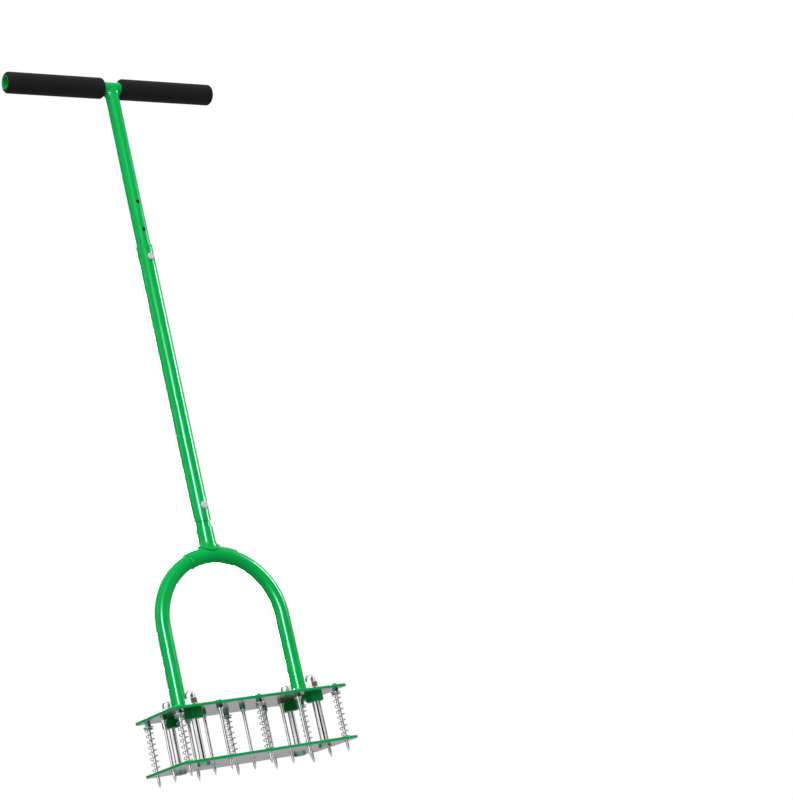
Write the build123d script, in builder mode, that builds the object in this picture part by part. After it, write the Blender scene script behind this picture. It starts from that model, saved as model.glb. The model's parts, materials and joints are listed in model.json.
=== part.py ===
"""Spring-loaded lawn aerator fork: T-handle, two-part shaft, arch, tine plate and stripper plate.

Millimetres. +Z runs up the shaft, X along the plates and the handle, and Z = 0 is at the tine tips.
Parts on the "frame" body stay still. The stripper plate, its guide bolts and cap nuts slide up +Z.
"""
from math import cos, radians, tan
import os

from build123d import *

os.makedirs("parts", exist_ok=True)

# ---- driving dimensions ------------------------------------------------------------------
# tine field: three rows of five
COL_PITCH = 66.0
ROW_PITCH = 48.0
TINE_D = 4.8
TINE_OUT = 16.0              # tip below the stripper plate at rest
TINE_POINT = 8.5             # length of the four-sided point
POINT_TAPER = 13.0           # degrees on each of its faces
TINE_HOLE_D = 9.0            # clearance holes in the stripper plate

# plates
PLATE_L, PLATE_W, PLATE_T = 296.0, 120.0, 4.0
PLATE_CORNER_R = 8.0
PLATE_EDGE_R = 1.0
PLATE_GAP = 72.0             # clear height between the plates at rest
STRIP_Z = TINE_OUT           # underside of the stripper plate
STRIP_TOP = STRIP_Z + PLATE_T
TOP_Z = STRIP_TOP + PLATE_GAP  # underside of the tine plate
TOP_FACE = TOP_Z + PLATE_T

# guide bolts, bushes and cap nuts
GUIDE_X, GUIDE_Y = 102.0, 35.0
GUIDE_D = 9.9                # runs in a 10.0 bore
GUIDE_BORE = 10.0
HEAD_AF, HEAD_H = 16.0, 4.2
HEAD_FACE_R = 0.47 * HEAD_AF  # round face left where the corners are turned off at 30 degrees
HEAD_TURN = 24.0             # how the hexagon heads happen to stand
BUSH_D, BUSH_DROP, BUSH_EDGE_R = 26.0, 13.5, 2.6
BUSH_SPIGOT_D = 18.0
BUSH_RIM_D, BUSH_RIM_H, BUSH_RIM_EDGE_R = 22.0, 1.5, 0.6
NUT_FLANGE_D, NUT_FLANGE_H = 20.0, 2.0
NUT_AF, NUT_HEX_H, NUT_H = 17.0, 8.0, 21.0
NUT_DOME_R = NUT_AF / 2 - 1.1
BOLT_IN_NUT, NUT_HOLE_DEPTH = 12.0, 12.6
NUT_Z = TOP_FACE + BUSH_RIM_H

# tine fixings under and over the tine plate
TINE_NUT_AF, TINE_NUT_H = 8.5, 5.0
COLLAR_D, COLLAR_H = 10.5, 1.0
FERRULE_D, FERRULE_H = 7.2, 3.2
SEAT_D, SEAT_H = 15.5, 1.3
CAP_D, CAP_H = 11.5, 3.8
CAP_R = ((CAP_D / 2) ** 2 + CAP_H ** 2) / (2 * CAP_H)  # sphere centred on the tine's axis

# springs
SPRING_D, WIRE_D, SPRING_TURNS = 13.0, 1.1, 9.0
SPRING_PLAY = 0.1            # clearance at each end of the coil
SPRING_TOP = TOP_Z - TINE_NUT_H - SEAT_H

# tubes
TUBE_D, TUBE_BORE = 22.0, 19.0
OUTER_D, OUTER_BORE = 25.4, 22.4
TUBE_EDGE_R = 0.4
WELD_GAP = 0.05
SADDLE_INSET = 1.5           # coped tube ends start this far off the cross tube's middle

# arch
ARCH_R = 102.0               # centreline, so the legs stand at X = +-102
CROWN_Z = TOP_Z + 226.5
BEND_Z = CROWN_Z - ARCH_R
LEG_DROP = 4.0               # leg tube showing below the tine plate
SLEEVE_HALF_ANGLE = 22.5

# shaft
SHOULDER_Z = CROWN_Z + 42.0
OUTER_Z0 = CROWN_Z + 50.5
OUTER_Z1 = OUTER_Z0 + 451.0
CLAMP_INSET = 23.0           # bolt centre from each end of the outer tube
SLIT_W, SLIT_L = 2.0, 40.0
STUB_TOP = OUTER_Z0 + 78.0
HOLE_PITCH = 48.0
HOLE_D = 6.6
LOWER_BOLT_Z = OUTER_Z0 + CLAMP_INSET
UPPER_BOLT_Z = OUTER_Z1 - CLAMP_INSET
SHAFT_BOTTOM = UPPER_BOLT_Z - 2 * HOLE_PITCH
HEIGHT_HOLES = [UPPER_BOLT_Z + n * HOLE_PITCH for n in (-1, 0, 1, 2)]

# cross bolts, M6
BOLT_D, BOLT_AF, BOLT_HEAD_H = 6.0, 10.0, 4.0
LOCK_AF, LOCK_HEX_H, LOCK_CROWN_H, LOCK_CROWN_D = 10.0, 4.6, 1.4, 8.6

# T-handle
HANDLE_Z = TOP_Z + 1006.0
HANDLE_L = 371.0
GRIP_D, GRIP_BORE, GRIP_EDGE_R = 34.0, 22.1, 5.5
GRIP_INNER = 15.0            # inner end of each grip from the middle

ROWS = {"front": -ROW_PITCH, "middle": 0.0, "back": ROW_PITCH}
COLUMNS = [(n - 2) * COL_PITCH for n in range(5)]
TINE_SPOTS = [(x, y) for y in ROWS.values() for x in COLUMNS]
SPRING_SPOTS = [(x, y) for y in (-ROW_PITCH, ROW_PITCH) for x in COLUMNS[::2]]
PLAIN_SPOTS = [spot for spot in TINE_SPOTS if spot not in SPRING_SPOTS]
GUIDE_SPOTS = [(x, y) for y in (-GUIDE_Y, GUIDE_Y) for x in (-GUIDE_X, GUIDE_X)]
LEG_SPOTS = [(-ARCH_R, 0.0), (ARCH_R, 0.0)]


def save(builder, name):
    """Label a finished piece and write its STEP file."""
    builder.part.label = name
    export_step(builder.part, f"parts/{name}.step")


def upright(x, y):
    """Sketch plane through (x, y) whose local x is +X and local y is +Z, for turned profiles."""
    return Plane(origin=(x, y, 0), x_dir=(1, 0, 0), z_dir=(0, -1, 0))


def hex_radius(across_flats):
    return across_flats / 2 / cos(radians(30))


def rings(edges, radius):
    """The circular edges of one radius."""
    return edges.filter_by(GeomType.CIRCLE).filter_by(lambda e: abs(e.radius - radius) < 0.01)


# ---- T-handle ----------------------------------------------------------------------------
with BuildPart() as t_bar:
    with BuildSketch(Plane.YZ.offset(-HANDLE_L / 2)):
        with Locations((0, HANDLE_Z)):
            Circle(TUBE_D / 2)
            Circle(TUBE_BORE / 2, mode=Mode.SUBTRACT)
    extrude(amount=HANDLE_L)
    fillet(t_bar.edges().filter_by(GeomType.CIRCLE), TUBE_EDGE_R)
save(t_bar, "t_bar")

for side, start in (("left", -HANDLE_L / 2), ("right", GRIP_INNER)):
    with BuildPart() as grip:
        with BuildSketch(Plane.YZ.offset(start)):
            with Locations((0, HANDLE_Z)):
                Circle(GRIP_D / 2)
                Circle(GRIP_BORE / 2, mode=Mode.SUBTRACT)
        extrude(amount=HANDLE_L / 2 - GRIP_INNER)
        fillet(rings(grip.edges(), GRIP_D / 2), GRIP_EDGE_R)
    save(grip, f"grip_{side}")

# ---- shaft -------------------------------------------------------------------------------
with BuildPart() as upper_shaft:
    with BuildSketch(Plane.XY.offset(SHAFT_BOTTOM)):
        Circle(TUBE_D / 2)
        Circle(TUBE_BORE / 2, mode=Mode.SUBTRACT)
    extrude(amount=HANDLE_Z - SADDLE_INSET - SHAFT_BOTTOM)
    # coped end that saddles the T-bar
    with Locations((0, 0, HANDLE_Z)):
        Cylinder(TUBE_D / 2 + WELD_GAP, 3 * TUBE_D, rotation=(0, 90, 0), mode=Mode.SUBTRACT)
    # row of height holes, front to back
    with Locations([(0, 0, z) for z in HEIGHT_HOLES]):
        Cylinder(HOLE_D / 2, 2 * TUBE_D, rotation=(90, 0, 0), mode=Mode.SUBTRACT)
save(upper_shaft, "upper_shaft")

with BuildPart() as outer_shaft:
    with BuildSketch(Plane.XY.offset(OUTER_Z0)):
        Circle(OUTER_D / 2)
        Circle(OUTER_BORE / 2, mode=Mode.SUBTRACT)
    extrude(amount=OUTER_Z1 - OUTER_Z0)
    fillet(outer_shaft.edges().filter_by(GeomType.CIRCLE), TUBE_EDGE_R)
    # clamping slits through both side walls, and the cross-bolt holes
    with Locations((0, 0, OUTER_Z0 + SLIT_L / 2), (0, 0, OUTER_Z1 - SLIT_L / 2)):
        Box(2 * OUTER_D, SLIT_W, SLIT_L, mode=Mode.SUBTRACT)
    with Locations((0, 0, LOWER_BOLT_Z), (0, 0, UPPER_BOLT_Z)):
        Cylinder(HOLE_D / 2, 2 * OUTER_D, rotation=(90, 0, 0), mode=Mode.SUBTRACT)
save(outer_shaft, "outer_shaft")

BOLT_TAIL = OUTER_D / 2 + LOCK_HEX_H + LOCK_CROWN_H - 0.6
for end, z in (("lower", LOWER_BOLT_Z), ("upper", UPPER_BOLT_Z)):
    with BuildPart() as cross_bolt:
        with BuildSketch(Plane.XZ.offset(OUTER_D / 2)):
            with Locations((0, z)):
                RegularPolygon(hex_radius(BOLT_AF), 6)
        extrude(amount=BOLT_HEAD_H)
        crown = cross_bolt.faces().sort_by(Axis.Y)[0]
        chamfer(crown.edges(), 0.5)
        with BuildSketch(Plane.XZ.offset(-BOLT_TAIL)):
            with Locations((0, z)):
                Circle(BOLT_D / 2)
        extrude(amount=BOLT_TAIL + OUTER_D / 2)
        tail = cross_bolt.faces().sort_by(Axis.Y)[-1]
        chamfer(tail.edges(), 0.5)
    save(cross_bolt, f"{end}_clamp_bolt")

    with BuildPart() as lock_nut:
        with BuildSketch(Plane.XZ.offset(-OUTER_D / 2)):
            with Locations((0, z)):
                RegularPolygon(hex_radius(LOCK_AF), 6)
        extrude(amount=-LOCK_HEX_H)
        chamfer(lock_nut.faces().sort_by(Axis.Y)[-1].edges(), 0.45)
        with BuildSketch(Plane.XZ.offset(-OUTER_D / 2 - LOCK_HEX_H)):
            with Locations((0, z)):
                Circle(LOCK_CROWN_D / 2)
        extrude(amount=-LOCK_CROWN_H)
        fillet(lock_nut.faces().sort_by(Axis.Y)[-1].edges(), 0.9)
        with Locations((0, OUTER_D / 2, z)):
            Cylinder(BOLT_D / 2 + WELD_GAP, 4 * LOCK_HEX_H, rotation=(90, 0, 0), mode=Mode.SUBTRACT)
    save(lock_nut, f"{end}_clamp_nut")

# ---- arch --------------------------------------------------------------------------------
# stub: shouldered tube whose neck fills the outer shaft and whose foot saddles the crown sleeve
with BuildPart() as socket_stub:
    with BuildSketch(Plane.XY.offset(CROWN_Z + SADDLE_INSET)):
        Circle(OUTER_D / 2)
    extrude(amount=SHOULDER_Z - CROWN_Z - SADDLE_INSET)
    fillet(socket_stub.faces().sort_by(Axis.Z)[-1].edges(), 1.2)
    with BuildSketch(Plane.XY.offset(SHOULDER_Z)):
        Circle(TUBE_D / 2)
    extrude(amount=STUB_TOP - SHOULDER_Z)
    chamfer(socket_stub.faces().sort_by(Axis.Z)[-1].edges(), 0.8)
    with Locations((0, 0, (CROWN_Z + STUB_TOP) / 2)):
        Cylinder(TUBE_BORE / 2, STUB_TOP - CROWN_Z + 2, mode=Mode.SUBTRACT)
    with Locations((0, 0, BEND_Z)):
        Torus(ARCH_R, OUTER_D / 2 + WELD_GAP, rotation=(90, 0, 0), mode=Mode.SUBTRACT)
    with Locations((0, 0, LOWER_BOLT_Z)):
        Cylinder(HOLE_D / 2, 2 * OUTER_D, rotation=(90, 0, 0), mode=Mode.SUBTRACT)
save(socket_stub, "socket_stub")

with BuildPart() as crown_sleeve:
    with BuildLine(Plane.XZ) as crown_arc:
        CenterArc((0, BEND_Z), ARCH_R, 90 - SLEEVE_HALF_ANGLE, 2 * SLEEVE_HALF_ANGLE)
    with BuildSketch(Plane(origin=crown_arc.line @ 0, z_dir=crown_arc.line % 0)):
        Circle(OUTER_D / 2)
        Circle(TUBE_D / 2 + WELD_GAP, mode=Mode.SUBTRACT)
    sweep()
    fillet(rings(crown_sleeve.edges(), OUTER_D / 2), 0.6)
save(crown_sleeve, "crown_sleeve")

for side, x, first, turn in (("left", -ARCH_R, 180, -89.9), ("right", ARCH_R, 0, 89.9)):
    with BuildPart() as arch_half:
        with BuildLine(Plane.XZ) as leg_line:
            Line((x, TOP_Z - LEG_DROP), (x, BEND_Z))
            CenterArc((0, BEND_Z), ARCH_R, first, turn)
        with BuildSketch(Plane.XY.offset(TOP_Z - LEG_DROP)):
            with Locations((x, 0)):
                Circle(TUBE_D / 2)
                Circle(TUBE_BORE / 2, mode=Mode.SUBTRACT)
        sweep(path=leg_line.wires()[0])
    save(arch_half, f"arch_{side}")

# ---- tine plate --------------------------------------------------------------------------
with BuildPart() as top_plate:
    with BuildSketch(Plane.XY.offset(TOP_Z)):
        RectangleRounded(PLATE_L, PLATE_W, PLATE_CORNER_R)
    extrude(amount=PLATE_T)
    rims = top_plate.faces().filter_by(Axis.Z).edges()
    fillet(rims, PLATE_EDGE_R)
    with BuildSketch(Plane.XY.offset(TOP_Z)):
        with Locations(*LEG_SPOTS):
            Circle(TUBE_D / 2 + WELD_GAP)
        with Locations(*GUIDE_SPOTS):
            Circle(BUSH_SPIGOT_D / 2 + WELD_GAP)
        with Locations(*TINE_SPOTS):
            Circle(TINE_D / 2 + WELD_GAP)
    extrude(amount=PLATE_T, mode=Mode.SUBTRACT)
save(top_plate, "top_plate")

# weld fillets where the legs meet the upper face
with BuildPart() as leg_welds:
    for x, y in LEG_SPOTS:
        with BuildSketch(upright(x, y)):
            with BuildLine():
                corner = (TUBE_D / 2 + WELD_GAP, TOP_FACE)
                foot, toe = (corner[0] + 3.2, TOP_FACE), (corner[0], TOP_FACE + 3.0)
                Line(corner, foot)
                ThreePointArc(foot, (corner[0] + 1.9, TOP_FACE + 1.7), toe)
                Line(toe, corner)
            make_face()
        revolve(axis=Axis((x, y, 0), (0, 0, 1)))
save(leg_welds, "leg_welds")

with BuildPart() as tine_caps:
    for x, y in TINE_SPOTS:
        with BuildSketch(upright(x, y)):
            with BuildLine():
                Line((0, TOP_FACE + CAP_H), (0, TOP_FACE))
                Line((0, TOP_FACE), (CAP_D / 2, TOP_FACE))
                RadiusArc((CAP_D / 2, TOP_FACE), (0, TOP_FACE + CAP_H), -CAP_R)
            make_face()
        revolve(axis=Axis((x, y, 0), (0, 0, 1)))
save(tine_caps, "tine_caps")

with BuildPart() as tine_nuts:
    with BuildSketch(Plane.XY.offset(TOP_Z - TINE_NUT_H)):
        with Locations(*TINE_SPOTS):
            RegularPolygon(hex_radius(TINE_NUT_AF), 6)
            Circle(TINE_D / 2 + WELD_GAP, mode=Mode.SUBTRACT)
    extrude(amount=TINE_NUT_H)
    low_edges = tine_nuts.edges().group_by(Axis.Z)[0].filter_by(GeomType.LINE)
    chamfer(low_edges, 0.6)
save(tine_nuts, "tine_nuts")

# washer and ferrule below the nut of each tine that has no spring
with BuildPart() as tine_collars:
    for diameter, top, height in (
        (COLLAR_D, TOP_Z - TINE_NUT_H, COLLAR_H),
        (FERRULE_D, TOP_Z - TINE_NUT_H - COLLAR_H, FERRULE_H),
    ):
        with BuildSketch(Plane.XY.offset(top - height)):
            with Locations(*PLAIN_SPOTS):
                Circle(diameter / 2)
                Circle(TINE_D / 2 + WELD_GAP, mode=Mode.SUBTRACT)
        extrude(amount=height)
    fillet(rings(tine_collars.edges().group_by(Axis.Z)[0], FERRULE_D / 2), 0.7)
save(tine_collars, "tine_collars")

with BuildPart() as spring_seats:
    with BuildSketch(Plane.XY.offset(SPRING_TOP)):
        with Locations(*SPRING_SPOTS):
            Circle(SEAT_D / 2)
            Circle(TINE_D / 2 + WELD_GAP, mode=Mode.SUBTRACT)
    extrude(amount=SEAT_H)
    fillet(rings(spring_seats.edges(), SEAT_D / 2), 0.4)
save(spring_seats, "spring_seats")

for row, y in ROWS.items():
    for column, x in enumerate(COLUMNS, start=1):
        with BuildPart() as tine:
            # four-sided point cut from round rod
            with BuildSketch(Plane.XY.offset(TINE_POINT)):
                with Locations((x, y)):
                    Rectangle(TINE_D, TINE_D, rotation=25 * column)
            extrude(amount=-TINE_POINT, taper=POINT_TAPER)
            with BuildSketch(Plane.XY):
                with Locations((x, y)):
                    Circle(TINE_D / 2)
            extrude(amount=TINE_POINT, mode=Mode.INTERSECT)
            with BuildSketch(Plane.XY.offset(TINE_POINT)):
                with Locations((x, y)):
                    Circle(TINE_D / 2)
            extrude(amount=TOP_FACE - TINE_POINT)
        save(tine, f"tine_{row}_{column}")

for x, y in SPRING_SPOTS:
    with BuildPart() as spring:
        rise = SPRING_TOP - STRIP_TOP - WIRE_D - 2 * SPRING_PLAY
        with BuildLine() as coil:
            Helix(rise / SPRING_TURNS, rise, (SPRING_D - WIRE_D) / 2,
                  center=(x, y, STRIP_TOP + WIRE_D / 2 + SPRING_PLAY))
        with BuildSketch(Plane(origin=coil.line @ 0, z_dir=coil.line % 0)):
            Circle(WIRE_D / 2)
        sweep(is_frenet=True)
    row = "front" if y < 0 else "back"
    save(spring, f"spring_{row}_{COLUMNS.index(x) + 1}")

for x, y in GUIDE_SPOTS:
    corner_name = ("front" if y < 0 else "back") + ("_left" if x < 0 else "_right")
    with BuildPart() as bush:
        with BuildSketch(Plane.XY.offset(TOP_Z - BUSH_DROP)):
            with Locations((x, y)):
                Circle(BUSH_D / 2)
        extrude(amount=BUSH_DROP)
        fillet(bush.faces().sort_by(Axis.Z)[0].edges(), BUSH_EDGE_R)
        with BuildSketch(Plane.XY.offset(TOP_Z)):
            with Locations((x, y)):
                Circle(BUSH_SPIGOT_D / 2)
        extrude(amount=PLATE_T)
        with BuildSketch(Plane.XY.offset(TOP_FACE)):
            with Locations((x, y)):
                Circle(BUSH_RIM_D / 2)
        extrude(amount=BUSH_RIM_H)
        fillet(bush.faces().sort_by(Axis.Z)[-1].edges(), BUSH_RIM_EDGE_R)
        with Locations((x, y, TOP_Z)):
            Cylinder(GUIDE_BORE / 2, 4 * BUSH_DROP, mode=Mode.SUBTRACT)
    save(bush, f"guide_bush_{corner_name}")

    # ---- moving parts: guide bolt and flanged cap nut ----
    with BuildPart() as guide_bolt:
        with BuildSketch(Plane.XY.offset(STRIP_Z - HEAD_H)):
            with Locations((x, y)):
                RegularPolygon(hex_radius(HEAD_AF), 6, rotation=HEAD_TURN)
        extrude(amount=HEAD_H)
        with Locations((x, y, STRIP_Z - HEAD_H)):
            # corners turned off at 30 degrees on the outer face
            Cone(HEAD_FACE_R, HEAD_FACE_R + HEAD_H / tan(radians(30)), HEAD_H,
                 align=(Align.CENTER, Align.CENTER, Align.MIN), mode=Mode.INTERSECT)
        with BuildSketch(Plane.XY.offset(STRIP_Z)):
            with Locations((x, y)):
                Circle(GUIDE_D / 2)
        extrude(amount=NUT_Z + BOLT_IN_NUT - STRIP_Z)
    save(guide_bolt, f"guide_bolt_{corner_name}")

    with BuildPart() as cap_nut:
        with BuildSketch(Plane.XY.offset(NUT_Z)):
            with Locations((x, y)):
                Circle(NUT_FLANGE_D / 2)
        extrude(amount=NUT_FLANGE_H)
        fillet(cap_nut.faces().sort_by(Axis.Z)[-1].edges(), 0.9)
        with BuildSketch(Plane.XY.offset(NUT_Z + NUT_FLANGE_H)):
            with Locations((x, y)):
                RegularPolygon(hex_radius(NUT_AF), 6)
        extrude(amount=NUT_HEX_H)
        chamfer(cap_nut.faces().sort_by(Axis.Z)[-1].edges(), 0.7)
        dome_z = NUT_Z + NUT_FLANGE_H + NUT_HEX_H
        with BuildSketch(upright(x, y)):
            with BuildLine():
                top = NUT_Z + NUT_H
                side = top - NUT_DOME_R
                Polyline((NUT_DOME_R, side), (NUT_DOME_R, dome_z - 1), (0, dome_z - 1), (0, top))
                RadiusArc((0, top), (NUT_DOME_R, side), NUT_DOME_R)
            make_face()
        revolve(axis=Axis((x, y, 0), (0, 0, 1)))
        with Locations((x, y, NUT_Z)):
            Cylinder(GUIDE_D / 2 + WELD_GAP, NUT_HOLE_DEPTH,
                     align=(Align.CENTER, Align.CENTER, Align.MIN), mode=Mode.SUBTRACT)
    save(cap_nut, f"cap_nut_{corner_name}")

with BuildPart() as stripper_plate:
    with BuildSketch(Plane.XY.offset(STRIP_Z)):
        RectangleRounded(PLATE_L, PLATE_W, PLATE_CORNER_R)
    extrude(amount=PLATE_T)
    rims = stripper_plate.faces().filter_by(Axis.Z).edges()
    fillet(rims, PLATE_EDGE_R)
    with BuildSketch(Plane.XY.offset(STRIP_Z)):
        with Locations(*GUIDE_SPOTS):
            Circle(GUIDE_D / 2 + WELD_GAP)
        with Locations(*TINE_SPOTS):
            Circle(TINE_HOLE_D / 2)
    extrude(amount=PLATE_T, mode=Mode.SUBTRACT)
save(stripper_plate, "stripper_plate")
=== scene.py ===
"""Looks for the lawn aerator fork: materials, springs, welds, floor, lights and camera."""
import json
import math

import bpy
from mathutils import Matrix, Vector

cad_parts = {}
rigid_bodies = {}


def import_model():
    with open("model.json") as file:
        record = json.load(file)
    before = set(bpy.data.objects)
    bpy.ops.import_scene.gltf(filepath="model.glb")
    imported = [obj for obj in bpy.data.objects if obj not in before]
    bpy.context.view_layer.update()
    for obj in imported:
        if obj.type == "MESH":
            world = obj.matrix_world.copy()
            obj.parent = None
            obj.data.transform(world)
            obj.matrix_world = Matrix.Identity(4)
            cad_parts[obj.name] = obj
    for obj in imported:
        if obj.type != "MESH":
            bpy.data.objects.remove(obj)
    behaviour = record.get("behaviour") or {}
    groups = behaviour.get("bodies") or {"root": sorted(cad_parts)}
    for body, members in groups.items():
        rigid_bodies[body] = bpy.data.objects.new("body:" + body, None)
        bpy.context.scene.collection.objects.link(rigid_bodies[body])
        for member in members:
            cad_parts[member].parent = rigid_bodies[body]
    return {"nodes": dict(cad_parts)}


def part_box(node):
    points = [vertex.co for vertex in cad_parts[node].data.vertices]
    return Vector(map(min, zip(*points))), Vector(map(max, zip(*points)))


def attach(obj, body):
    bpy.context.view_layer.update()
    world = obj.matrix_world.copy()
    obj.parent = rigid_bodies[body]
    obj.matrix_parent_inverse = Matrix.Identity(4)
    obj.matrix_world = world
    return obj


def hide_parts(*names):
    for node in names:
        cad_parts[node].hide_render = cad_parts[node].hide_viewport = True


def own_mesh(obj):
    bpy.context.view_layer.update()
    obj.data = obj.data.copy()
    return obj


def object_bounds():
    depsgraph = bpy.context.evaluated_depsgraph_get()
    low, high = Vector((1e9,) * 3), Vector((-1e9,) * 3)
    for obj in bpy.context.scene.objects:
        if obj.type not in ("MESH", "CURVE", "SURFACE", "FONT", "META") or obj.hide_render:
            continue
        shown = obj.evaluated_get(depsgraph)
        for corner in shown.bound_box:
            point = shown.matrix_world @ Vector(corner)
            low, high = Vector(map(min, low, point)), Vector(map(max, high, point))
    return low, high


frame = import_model()
cad_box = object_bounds()

MM = 0.001
TAU = 2 * math.pi


# ---- node trees ----------------------------------------------------------------------------
class Nodes:
    """Short ways to add nodes to a tree. A value may also be another node's output."""

    def __init__(self, tree):
        self.tree = tree

    def node(self, kind, links=(), **settings):
        made = self.tree.nodes.new(kind)
        for key, value in settings.items():
            setattr(made, key, value)
        for socket, value in dict(links).items():
            self.feed(made.inputs[socket], value)
        return made

    def feed(self, socket, value):
        if isinstance(value, bpy.types.NodeSocket):
            self.tree.links.new(value, socket)
        else:
            socket.default_value = value

    def math(self, operation, a, b=0.0):
        return self.node("ShaderNodeMath", {0: a, 1: b}, operation=operation).outputs[0]

    def ramp(self, value, low, high, to_low, to_high):
        """Smooth step from to_low to to_high while the value goes from low to high."""
        made = self.node("ShaderNodeMapRange", {
            "Value": value, "From Min": low, "From Max": high, "To Min": to_low, "To Max": to_high},
            interpolation_type="SMOOTHSTEP")
        return made.outputs[0]

    def number(self, factor, a, b):
        """A number that goes from a to b with the factor."""
        return self.node("ShaderNodeMix", {0: factor, 2: a, 3: b}).outputs[0]


class Graph(Nodes):
    """A node material whose textures use the object's own coordinates, in metres."""

    def __init__(self, name):
        self.material = bpy.data.materials.new(name)
        self.material.use_nodes = True
        super().__init__(self.material.node_tree)
        self.shader = self.tree.nodes["Principled BSDF"]
        self.place = self.node("ShaderNodeTexCoord").outputs["Object"]

    def stretched(self, x, y, z):
        links = {"Vector": self.place, "Scale": (x, y, z)}
        return self.node("ShaderNodeMapping", links).outputs[0]

    def noise(self, scale, detail=2.0, roughness=0.5, vector=None):
        made = self.node("ShaderNodeTexNoise", {
            "Vector": vector or self.place, "Scale": scale, "Detail": detail,
            "Roughness": roughness})
        return made.outputs["Fac"]

    def colour(self, factor, a, b):
        """A colour that goes from a to b with the factor."""
        links = {0: factor, 6: a, 7: b}
        return self.node("ShaderNodeMix", links, data_type="RGBA").outputs[2]

    def bump(self, height, distance, strength, under=None):
        links = {"Height": height, "Distance": distance, "Strength": strength}
        if under is not None:
            links["Normal"] = under
        return self.node("ShaderNodeBump", links).outputs[0]

    def set(self, **sockets):
        for key, value in sockets.items():
            self.feed(self.shader.inputs[key.replace("_", " ")], value)
        return self.material


def rgb(r, g, b):
    return (r, g, b, 1.0)


GREEN = rgb(0.0, 0.51, 0.092)
GREEN_DEEP = rgb(0.0, 0.47, 0.080)
# the plates' green is the tubes' powder coat made darker and bluer, as painted shade and painted
# reflection
PLATE_SHADED_DEEP = rgb(0.0, 0.41, 0.092)
PLATE_SHADED_LIGHT = rgb(0.0, 0.45, 0.108)
# the guide bushes' green is the powder coat darkened as painted shade, for their place under the
# top plate
BUSH_SHADED_DEEP = rgb(0.0, 0.18, 0.035)
BUSH_SHADED_LIGHT = rgb(0.0, 0.30, 0.056)
FLECK = rgb(0.02, 0.51, 0.15)
GLOSS = 0.09                               # specular level of the powder coat
GLOSS_TINT = rgb(0.55, 1.0, 0.95)
PEEL, PEEL_DEPTH = 520.0, 0.03 * MM        # orange peel, cells per metre and depth
GRAIN, GRAIN_DEPTH = 3200.0, 0.006 * MM    # fine grain on the peel


def paint_parts(g, deep=GREEN_DEEP, light=GREEN):
    """Colour, roughness and normal of the gloss powder coat."""
    cloudy = g.ramp(g.noise(9.0, 3.0), 0.3, 0.7, 0.0, 1.0)
    colour = g.colour(cloudy, deep, light)
    fleck = g.ramp(g.noise(2600.0, 1.0), 0.66, 0.80, 0.0, 0.10)
    colour = g.colour(fleck, colour, FLECK)
    roughness = g.ramp(g.noise(60.0, 4.0, 0.6), 0.25, 0.75, 0.16, 0.27)
    peel = g.bump(g.noise(PEEL, 2.0, 0.45), PEEL_DEPTH, 0.5)
    grain = g.bump(g.noise(GRAIN, 1.0), GRAIN_DEPTH, 0.3, under=peel)
    return colour, roughness, grain


def green_paint(name, deep=GREEN_DEEP, light=GREEN):
    g = Graph(name)
    colour, roughness, normal = paint_parts(g, deep, light)
    return g.set(Base_Color=colour, Roughness=roughness, Normal=normal,
                 Specular_IOR_Level=GLOSS, Specular_Tint=GLOSS_TINT)


SHEET_DARK, SHEET_LIGHT = rgb(0.40, 0.42, 0.415), rgb(0.47, 0.47, 0.475)
SHEET_STREAK = rgb(0.52, 0.53, 0.53)
SHEET_METALLIC = 0.92
ALL_SHEET, ALL_PAINT = -0.97, -0.80        # upward part of the face's direction


def plate_finish():
    """Sheet steel: painted above and on its edges, bare bright sheet below."""
    g = Graph("plate_paint_over_bright_sheet")
    # the painted side uses the darker plate greens: painted shade and painted reflection
    colour, roughness, normal = paint_parts(g, PLATE_SHADED_DEEP, PLATE_SHADED_LIGHT)
    normal_of = g.node("ShaderNodeNewGeometry").outputs["Normal"]
    facing = g.node("ShaderNodeSeparateXYZ", {0: normal_of})
    below = g.ramp(facing.outputs[2], ALL_SHEET, ALL_PAINT, 1.0, 0.0)
    rolled = g.noise(40.0, 4.0, 0.6, g.stretched(1.0, 14.0, 14.0))
    cloudy = g.ramp(g.noise(11.0, 3.0), 0.3, 0.7, 0.0, 1.0)
    sheet = g.colour(cloudy, SHEET_DARK, SHEET_LIGHT)
    sheet = g.colour(g.ramp(rolled, 0.35, 0.7, 0.0, 0.35), sheet, SHEET_STREAK)
    sheet_rough = g.ramp(rolled, 0.3, 0.7, 0.13, 0.22)
    return g.set(Base_Color=g.colour(below, colour, sheet),
                 Metallic=g.math("MULTIPLY", below, SHEET_METALLIC),
                 Roughness=g.number(below, roughness, sheet_rough), Normal=normal,
                 Specular_IOR_Level=GLOSS)


DRAWN_DEPTH = 0.004 * MM
PIT_COLOUR = rgb(0.25, 0.25, 0.255)
CLOUD_ROUGHNESS = 0.03      # added where the clouding is darkest
HEAD_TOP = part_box("stripper_plate")[0].z   # the bolt heads below the plate get a painted reflection of its green
HEAD_BLEND = 0.2 * MM


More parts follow.
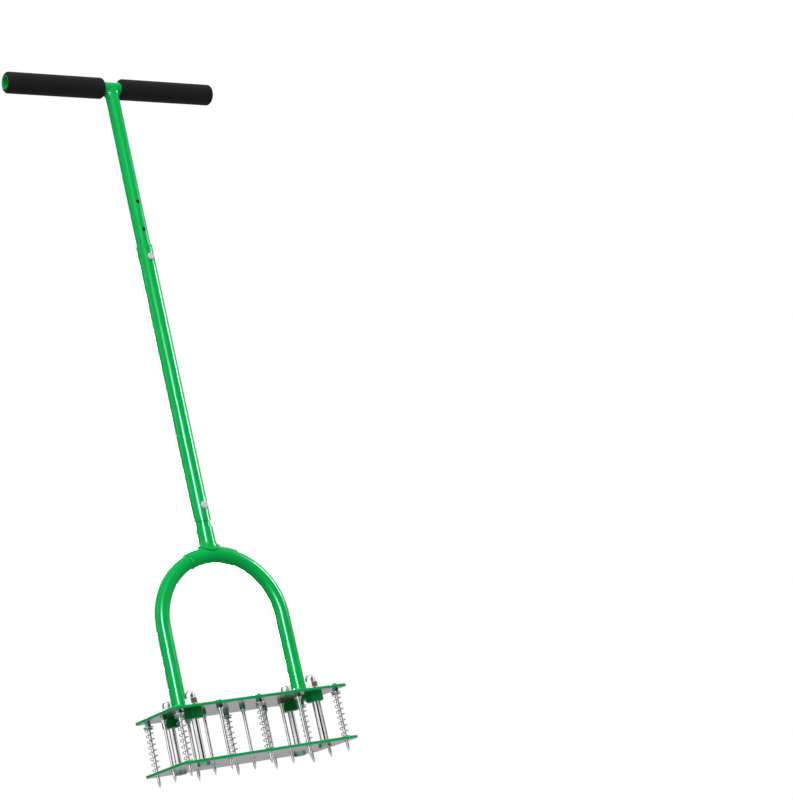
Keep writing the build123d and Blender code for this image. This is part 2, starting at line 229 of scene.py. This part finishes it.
def metal(name, dark, light, rough, streak=(1, 1, 1), pit=0.0, metallic=1.0, painted_reflection=None):
    """Bright plated steel.

    rough is the lowest and highest roughness, streak how the drawing marks stretch along x, y
    and z, pit how strong the dark pits are, and painted_reflection the painted reflection below
    HEAD_TOP.
    """
    g = Graph(name)
    drawn = g.noise(900.0, 3.0, 0.6, g.stretched(*streak))
    cloudy = g.ramp(g.noise(70.0, 3.0, 0.55), 0.3, 0.72, 0.0, 1.0)
    colour = g.colour(cloudy, dark, light)
    if pit:
        spots = g.ramp(g.noise(1500.0, 2.0), 0.62, 0.76, 0.0, pit)
        colour = g.colour(spots, colour, PIT_COLOUR)
    # below the plate the colour turns to a painted reflection of the green plate above
    if painted_reflection:
        rise = g.node("ShaderNodeSeparateXYZ", {0: g.place}).outputs[2]
        under = g.ramp(rise, HEAD_TOP - HEAD_BLEND, HEAD_TOP, 1.0, 0.0)
        colour = g.colour(under, colour, painted_reflection)
    roughness = g.math("ADD", g.ramp(drawn, 0.3, 0.75, *rough),
                       g.ramp(cloudy, 0.0, 1.0, CLOUD_ROUGHNESS, 0.0))
    return g.set(Base_Color=colour, Metallic=metallic, Roughness=roughness,
                 Normal=g.bump(drawn, DRAWN_DEPTH, 0.5))


FOAM_DARK, FOAM_LIGHT = rgb(0.0045, 0.0045, 0.0048), rgb(0.0095, 0.0095, 0.0098)
# near-black in the pores: painted shade
FOAM_PORE_SHADE = rgb(0.002, 0.002, 0.002)
CELLS, CELL_DEPTH = 1500.0, 0.18 * MM
SKIN, SKIN_DEPTH = 260.0, 0.5 * MM


def foam():
    g = Graph("closed_cell_foam")
    cells = g.node("ShaderNodeTexVoronoi", {"Vector": g.place, "Scale": CELLS}).outputs["Distance"]
    skin = g.noise(SKIN, 4.0, 0.6, g.stretched(0.35, 1.0, 1.0))
    colour = g.colour(g.ramp(skin, 0.3, 0.7, 0.0, 1.0), FOAM_DARK, FOAM_LIGHT)
    # the pores are darkened as painted shade in their hollows
    colour = g.colour(g.ramp(cells, 0.0, 0.22, 0.5, 0.0), colour, FOAM_PORE_SHADE)
    normal = g.bump(cells, CELL_DEPTH, 0.5, under=g.bump(skin, SKIN_DEPTH, 0.35))
    return g.set(Base_Color=colour, Roughness=g.ramp(skin, 0.3, 0.7, 0.72, 0.9), Normal=normal,
                 Specular_IOR_Level=0.22, Sheen_Weight=0.02, Sheen_Roughness=0.5)


PAINT = green_paint("gloss_green_powder_coat")
# the bushes get the powder coat darkened as painted shade
BUSH_PAINTED_SHADE_COAT = green_paint("green_coat_darkened_as_painted_shade", BUSH_SHADED_DEEP, BUSH_SHADED_LIGHT)
PLATE = plate_finish()
FOAM = foam()
ROD = metal("drawn_bright_rod", dark=rgb(0.70, 0.70, 0.715), light=rgb(0.83, 0.83, 0.84),
            rough=(0.06, 0.13), streak=(1, 1, 0.04))
# the bolt heads under the stripper plate carry a painted green reflection
BOLT = metal("plated_bolt_with_painted_green_reflection", dark=rgb(0.66, 0.665, 0.68), light=rgb(0.80, 0.80, 0.81),
             rough=(0.08, 0.17), streak=(1, 1, 0.5), pit=0.5, painted_reflection=rgb(0.20, 0.34, 0.27))
NUT = metal("bright_zinc", dark=rgb(0.70, 0.705, 0.72), light=rgb(0.84, 0.84, 0.85),
            rough=(0.07, 0.16), pit=0.3, metallic=0.85)
# the tine nuts' dark green is a painted reflection of the green paint round them and painted shade
# under the plate
NUT_PAINTED_SHADE_AND_REFLECTION = metal("zinc_painted_green_reflection_and_shade", dark=rgb(0.10, 0.19, 0.145),
                   light=rgb(0.24, 0.36, 0.30), rough=(0.10, 0.2), pit=0.3)
WHITE_ZINC = metal("white_zinc", dark=rgb(0.78, 0.785, 0.80), light=rgb(0.90, 0.90, 0.91),
                   rough=(0.20, 0.30), pit=0.2, metallic=0.25)
WIRE = metal("plated_spring_wire", dark=rgb(0.40, 0.40, 0.41), light=rgb(0.54, 0.54, 0.55),
             rough=(0.12, 0.22))

# the first start that fits a node's name gives its finish
FINISHES = (
    ("grip_", FOAM), ("top_plate", PLATE), ("stripper_plate", PLATE),
    ("tine_nuts", NUT_PAINTED_SHADE_AND_REFLECTION), ("tine_collars", NUT), ("spring_seats", NUT), ("tine_caps", PAINT),
    ("tine_", ROD), ("guide_bush", BUSH_PAINTED_SHADE_COAT), ("guide_bolt", BOLT), ("cap_nut", NUT),
    ("spring_", WIRE), ("lower_clamp", WHITE_ZINC), ("upper_clamp", WHITE_ZINC), ("", PAINT),
)


def dress(obj, material):
    if not obj.material_slots:
        obj.data.materials.append(material)
    for held in obj.material_slots:
        held.material = material


for name, obj in sorted(frame["nodes"].items()):
    dress(obj, next(finish for start, finish in FINISHES if name.startswith(start)))


# ---- meshes --------------------------------------------------------------------------------
def add_mesh(name, points, faces, material, body):
    """A smooth-shaded closed piece from points in metres."""
    mesh = bpy.data.meshes.new(name)
    mesh.from_pydata([tuple(p) for p in points], [], faces)
    mesh.validate()
    mesh.shade_smooth()
    obj = bpy.data.objects.new(name, mesh)
    bpy.context.scene.collection.objects.link(obj)
    mesh.materials.append(material)
    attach(obj, body)
    return obj


def tube(path, radii, sides, closed=False):
    """Points and faces of a round section carried along a path without twisting."""
    count = len(path)
    points, faces = [], []
    normal = None
    for i, at in enumerate(path):
        ahead = path[(i + 1) % count] if closed or i + 1 < count else at
        behind = path[i - 1] if closed or i else at
        along = (ahead - behind).normalized()
        if normal is None:
            normal = along.orthogonal().normalized()
        normal = (normal - along * normal.dot(along)).normalized()
        side = along.cross(normal)
        for k in range(sides):
            turn = TAU * k / sides
            points.append(at + (normal * math.cos(turn) + side * math.sin(turn)) * radii[i])
    shift = 0
    if closed:
        # the last ring meets the first with the least twist
        first = points[0] - path[0]
        last = [points[(count - 1) * sides + k] - path[-1] for k in range(sides)]
        shift = max(range(sides), key=lambda k: first.dot(last[k]))
    for i in range(count if closed else count - 1):
        j = (i + 1) % count
        turn = shift if j == 0 else 0
        for k in range(sides):
            a, b = i * sides + (k + turn) % sides, i * sides + (k + 1 + turn) % sides
            faces.append((a, b, j * sides + (k + 1) % sides, j * sides + k))
    if not closed:
        faces.append(tuple(reversed(range(sides))))
        faces.append(tuple(range((count - 1) * sides, count * sides)))
    return points, faces


# ---- springs: close coils at both ends, open coils between ---------------------------------
WIRE_R = 0.55 * MM
LOW_TURNS, OPEN_TURNS, TOP_TURNS = 1.0, 7.5, 2.25
CLOSE_PITCH = 1.22 * MM
STEPS_PER_TURN = 40
WIRE_SIDES = 8

spring_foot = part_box("stripper_plate")[1].z
spring_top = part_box("spring_seats")[0].z


def spring_path(node):
    low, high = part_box(node)
    x, y = (low.x + high.x) / 2, (low.y + high.y) / 2
    radius = (high.x - low.x) / 2 - WIRE_R
    bottom = spring_foot + WIRE_R
    top = spring_top - WIRE_R
    turns = LOW_TURNS + OPEN_TURNS + TOP_TURNS
    open_rise = top - bottom - (LOW_TURNS + TOP_TURNS) * CLOSE_PITCH
    path = []
    z = bottom
    steps = int(turns * STEPS_PER_TURN)
    for i in range(steps + 1):
        turn = i / STEPS_PER_TURN
        path.append(Vector((x + radius * math.cos(TAU * turn),
                            y + radius * math.sin(TAU * turn), z)))
        opened = LOW_TURNS <= turn < LOW_TURNS + OPEN_TURNS
        z += (open_rise / OPEN_TURNS if opened else CLOSE_PITCH) / STEPS_PER_TURN
    return path


for node in sorted(n for n in frame["nodes"] if n.startswith("spring_") and n != "spring_seats"):
    path = spring_path(node)
    points, faces = tube(path, [WIRE_R] * len(path), WIRE_SIDES)
    name = node.replace("spring_", "coil_spring_")
    coil = add_mesh(name, points, faces, WIRE, "frame")
    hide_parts(node)
    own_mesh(coil)


# ---- welds under the paint -----------------------------------------------------------------
BEAD_SIDES, BEAD_STEPS = 14, 150
BEAD_R, BEAD_LIFT = 1.4 * MM, 0.35 * MM    # bead, and how far its middle stands off the tube
PUDDLES, PUDDLE_SWELL = 38, 0.07           # ripples round a bead and how much each one swells it
WAVES, WAVE_SWELL, WAVE_START = 5, 0.04, 1.3   # slower unevenness of the hand


def circle_of(count):
    return [TAU * i / count for i in range(count)]


def bead(name, path, radius):
    """A closed weld bead with the soft ripple of overlapping puddles."""
    radii = []
    for turn in circle_of(len(path)):
        puddle = PUDDLE_SWELL * math.sin(PUDDLES * turn)
        wave = WAVE_SWELL * math.sin(WAVES * turn + WAVE_START)
        radii.append(radius * (1 + puddle + wave))
    points, faces = tube(path, radii, BEAD_SIDES, closed=True)
    return add_mesh(name, points, faces, PAINT, "frame")


arch_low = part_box("arch_left")[0]
sleeve_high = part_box("crown_sleeve")[1]
bar_low, bar_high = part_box("t_bar")
TUBE_R = (bar_high.z - bar_low.z) / 2
BAR_Z = (bar_high.z + bar_low.z) / 2
SLEEVE_R = sleeve_high.y
ARCH_R = -arch_low.x - TUBE_R
BEND_Z = sleeve_high.z - SLEEVE_R - ARCH_R
SLEEVE_ANGLE = math.radians(22.5)          # from the middle of the arch to each end of the sleeve

# Flared feet blend a tube into the cross tube it meets. A foot runs along the tube to its rim,
# which reaches out over the cross tube and is one step thick.
# LIP is the rounded rim, in mm outwards and in steps off the cross tube.
LIP = ((0.5, 0.99), (0.95, 0.87), (1.3, 0.64), (1.45, 0.36), (1.4, 0.08), (1.0, -0.2))
CURVE_STEPS, FOOT_SIDES = 10, 120
FOOT_WRAP = 0.65           # how far a foot reaches round the cross tube, against along it
FOOT_PLAY = 0.05 * MM      # from the tube's wall to the foot's
FOOT_FLARE = 1.03          # widening of the curve's middle point
FOOT_INSIDE = 0.6 * MM     # how far the hidden side lies inside the tube's wall
HANDLE_RISE, HANDLE_REACH, HANDLE_STEP = -6.0 * MM, 1.1 * MM, 2.4 * MM
STUB_RISE, STUB_REACH, STUB_STEP = 9.0 * MM, 4.0 * MM, 3.0 * MM
SEAM_SIDE = 0.866          # sine of the angle round the bar that the seam reaches at its sides


def on_sleeve(turn, reach, above):
    """A point above the crown sleeve, reach out from the stub's wall at a turn round the stub."""
    over = math.asin(TUBE_R * math.sin(turn) / SLEEVE_R)
    over += FOOT_WRAP * reach * math.sin(turn) / SLEEVE_R
    x, y = (SLEEVE_R + reach) * math.cos(turn), (SLEEVE_R + above) * math.sin(over)
    arch = ARCH_R + (SLEEVE_R + above) * math.cos(over)
    return Vector((x, y, BEND_Z + math.sqrt(arch ** 2 - x ** 2)))


def under_bar(turn, reach, below):
    """A point below the T-bar, reach out from the shaft's wall at a turn round the shaft."""
    over = math.asin(SEAM_SIDE * math.sin(turn)) + FOOT_WRAP * reach * math.sin(turn) / TUBE_R
    return Vector(((TUBE_R + reach) * math.cos(turn), (TUBE_R + below) * math.sin(over),
                   BAR_Z - (TUBE_R + below) * math.cos(over)))


def foot_section(turn, saddle, post_r, rise, reach, step):
    """Outline of a foot at one turn: down the tube, out to the rim, round it and back inside."""
    up = math.copysign(1.0, rise)
    corner = saddle(turn, 0.0, 0.0)
    wall = Vector((math.cos(turn), math.sin(turn), 0)) * (post_r + FOOT_PLAY)
    high = wall + Vector((0, 0, corner.z + rise))
    bend = wall * FOOT_FLARE + Vector((0, 0, corner.z + up * step))
    edge = saddle(turn, reach, step)
    outline = []
    for i in range(CURVE_STEPS + 1):
        t = i / CURVE_STEPS
        outline.append(high * (1 - t) ** 2 + bend * 2 * t * (1 - t) + edge * t ** 2)
    for out, lift in LIP:
        outline.append(saddle(turn, reach + out * MM, step * lift))
    inside = wall * ((post_r - FOOT_INSIDE) / post_r)
    outline.append(inside + Vector((0, 0, corner.z - up * FOOT_INSIDE)))
    outline.append(inside + Vector((0, 0, corner.z + rise)))
    return outline


def foot(name, saddle, post_r, rise, reach, step):
    sections = [foot_section(turn, saddle, post_r, rise, reach, step)
                for turn in circle_of(FOOT_SIDES)]
    across = len(sections[0])
    points = [point for section in sections for point in section]
    faces = []
    for i in range(FOOT_SIDES):
        j = (i + 1) % FOOT_SIDES
        for k in range(across):
            n = (k + 1) % across
            face = (i * across + k, i * across + n, j * across + n, j * across + k)
            faces.append(face if rise > 0 else face[::-1])
    return add_mesh(name, points, faces, PAINT, "frame")


foot("weld_handle_foot", under_bar, TUBE_R, HANDLE_RISE, HANDLE_REACH, HANDLE_STEP)
foot("weld_stub_foot", on_sleeve, SLEEVE_R, STUB_RISE, STUB_REACH, STUB_STEP)

# ends of the crown sleeve
for side, sign in (("left", -1), ("right", 1)):
    out = Vector((sign * math.sin(SLEEVE_ANGLE), 0, math.cos(SLEEVE_ANGLE)))
    centre = Vector((0, 0, BEND_Z)) + out * ARCH_R
    path = [centre + (out * math.cos(t) + Vector((0, 1, 0)) * math.sin(t)) * (TUBE_R + BEAD_LIFT)
            for t in circle_of(BEAD_STEPS)]
    bead("weld_sleeve_" + side, path, BEAD_R)


# ---- floor, light and camera ---------------------------------------------------------------
FLOOR_HALF, FLOOR_Z = 7.0, -0.4 * MM       # a little below the tool
FADE_FROM, FADE_TO = 0.7, 2.6              # metres from the tool where the floor turns clear


def floor_plane(name, half, z):
    corners = [(-half, -half, z), (half, -half, z), (half, half, z), (-half, half, z)]
    mesh = bpy.data.meshes.new(name)
    mesh.from_pydata(corners, [], [(0, 1, 2, 3)])
    obj = bpy.data.objects.new(name, mesh)
    bpy.context.scene.collection.objects.link(obj)
    return obj


def one_way_floor():
    """Pale and matt from above; from below it lets the view through."""
    g = Graph("pale_floor")
    tone = g.colour(g.noise(3.0, 2.0), rgb(0.70, 0.70, 0.70), rgb(0.72, 0.72, 0.72))
    matt = g.node("ShaderNodeBsdfDiffuse", {"Color": tone}).outputs[0]
    clear = g.node("ShaderNodeBsdfTransparent").outputs[0]
    side = g.node("ShaderNodeNewGeometry").outputs["Backfacing"]
    reach = g.node("ShaderNodeVectorMath", {0: g.place}, operation="LENGTH").outputs["Value"]
    gone = g.math("MAXIMUM", side, g.ramp(reach, FADE_FROM, FADE_TO, 0.0, 1.0))
    mixed = g.node("ShaderNodeMixShader", {0: gone, 1: matt, 2: clear}).outputs[0]
    g.tree.links.new(mixed, g.tree.nodes["Material Output"].inputs["Surface"])
    g.tree.nodes.remove(g.shader)
    return g.material


floor = floor_plane("floor", FLOOR_HALF, FLOOR_Z)
floor.data.materials.append(one_way_floor())
floor.visible_shadow = False
floor.visible_glossy = False
floor.visible_diffuse = False

# The studio is white all round for the camera. Reflections see white panels with darker gaps,
# each given by its middle and half width in degrees and how bright it is. Heights are the
# upward part of the direction looked in.
PANEL_GAPS = ((-81.0, 34.0, 0.02), (122.0, 34.0, 0.03), (8.0, 24.0, 0.42), (58.0, 7.0, 0.3))
GAP_INNER, GAP_OUTER = 0.75, 1.25          # soft edge of a gap, in half widths
PANEL_LOW, PANEL_HIGH = 1.25, 1.4          # brightness of the panels low and high up
ABOVE_TONE, BELOW_TONE = 0.95, 0.60        # brightness overhead and underfoot
AMBIENT_LOW, AMBIENT_HIGH = 0.34, 0.80     # plain light that the surfaces receive

world = bpy.data.worlds.new("studio")
bpy.context.scene.world = world
world.use_nodes = True
world.node_tree.nodes.clear()
sky = Nodes(world.node_tree)

direction = sky.node("ShaderNodeSeparateXYZ",
                     {0: sky.node("ShaderNodeTexCoord").outputs["Generated"]})
azimuth = sky.math("ARCTAN2", direction.outputs[1], direction.outputs[0])
wall = None
for at, width, tone in PANEL_GAPS:
    turned = sky.math("SUBTRACT", azimuth, math.radians(at))
    wrapped = sky.node("ShaderNodeMath", {0: turned, 1: math.pi, 2: -math.pi}, operation="WRAP")
    gap = sky.ramp(sky.math("ABSOLUTE", wrapped.outputs[0]), math.radians(width) * GAP_INNER,
                   math.radians(width) * GAP_OUTER, tone, 1.0)
    wall = gap if wall is None else sky.math("MULTIPLY", wall, gap)
height = direction.outputs[2]
walls = sky.math("MULTIPLY", wall, sky.ramp(height, -0.05, 0.5, PANEL_LOW, PANEL_HIGH))
above = sky.ramp(height, 0.55, 0.95, 0.0, 1.0)
below = sky.ramp(height, -0.02, -0.22, 0.0, 1.0)
between = sky.math("SUBTRACT", 1.0, sky.math("MAXIMUM", above, below))
room = sky.math("ADD", sky.math("MULTIPLY", walls, between),
                sky.math("ADD", sky.math("MULTIPLY", above, ABOVE_TONE),
                         sky.math("MULTIPLY", below, BELOW_TONE)))
ambient = sky.ramp(height, -0.45, 0.55, AMBIENT_LOW, AMBIENT_HIGH)
ray = sky.node("ShaderNodeLightPath")
lit = sky.number(ray.outputs["Is Glossy Ray"], ambient, room)
seen = sky.number(ray.outputs["Is Camera Ray"], lit, 1.0)
background = sky.node("ShaderNodeBackground", {"Color": rgb(1.0, 1.0, 1.0), "Strength": seen})
output = sky.node("ShaderNodeOutputWorld")
sky.tree.links.new(background.outputs[0], output.inputs["Surface"])

middle = (cad_box[0] + cad_box[1]) / 2
SOFT_BOX_AWAY, STRIP_AWAY = 3.0, 2.6       # metres from the middle of the tool


def area_light(name, turn, rise, distance, width, tall, radiance, tint=(1.0, 1.0, 1.0)):
    """A soft box that faces the middle of the tool; turn and rise are in degrees."""
    data = bpy.data.lights.new(name, "AREA")
    data.shape = "RECTANGLE"
    data.size, data.size_y = width, tall
    data.energy = radiance * math.pi * width * tall
    data.color = tint
    obj = bpy.data.objects.new(name, data)
    bpy.context.scene.collection.objects.link(obj)
    a, e = math.radians(turn), math.radians(rise)
    out = Vector((math.cos(a) * math.cos(e), math.sin(a) * math.cos(e), math.sin(e)))
    obj.location = middle + out * distance
    obj.rotation_mode = "QUATERNION"
    obj.rotation_quaternion = out.to_track_quat("Z", "Y")
    obj.visible_camera = False
    return obj


area_light("key", -118.0, 40.0, SOFT_BOX_AWAY, 1.6, 1.6, 4.6, (1.0, 0.99, 0.97))
area_light("fill", 75.0, 48.0, SOFT_BOX_AWAY, 1.8, 1.8, 2.4, (0.97, 0.99, 1.0))

# tall strips that only draw the long highlights on the paint
painted = bpy.data.collections.new("painted")
for obj in bpy.data.objects:
    if obj.type == "MESH" and any(m == PAINT for m in obj.data.materials):
        painted.objects.link(obj)
# name, turn, rise, width, height and radiance
STRIPS = (("front", -126.0, 0.0, 0.62, 1.65, 215.0), ("right", -24.0, 16.0, 0.26, 0.95, 270.0),
          ("back", 62.0, 8.0, 0.40, 1.9, 175.0), ("left", 156.0, 14.0, 0.20, 1.2, 20.0))
for name, turn, rise, width, tall, radiance in STRIPS:
    strip = area_light("strip_" + name, turn, rise, STRIP_AWAY, width, tall, radiance)
    strip.visible_diffuse = False
    strip.light_linking.receiver_collection = painted


# the camera's axes and place, in the tool's frame
RIGHT = Vector((0.866718, -0.457288, -0.199215))
DOWN = Vector((-0.031911, 0.347738, -0.937049))
FORWARD = Vector((0.497776, 0.818514, 0.286798))
CAMERA_AT = (-1.33816, -2.18173, -0.20037)
SENSOR, LENS = 36.0, 78.93                 # mm
SHIFT_X = 0.2828
CLIP = (0.05, 60.0)

camera = bpy.data.objects.new("camera", bpy.data.cameras.new("camera"))
bpy.context.scene.collection.objects.link(camera)
turned = Matrix((RIGHT, -DOWN, -FORWARD)).transposed().to_4x4()
camera.matrix_world = Matrix.Translation(CAMERA_AT) @ turned
camera.data.sensor_width = SENSOR
camera.data.lens = LENS
camera.data.shift_x = SHIFT_X
camera.data.clip_start, camera.data.clip_end = CLIP
bpy.context.scene.camera = camera
bpy.context.scene.view_settings.view_transform = "Standard"

bpy.context.view_layer.update()
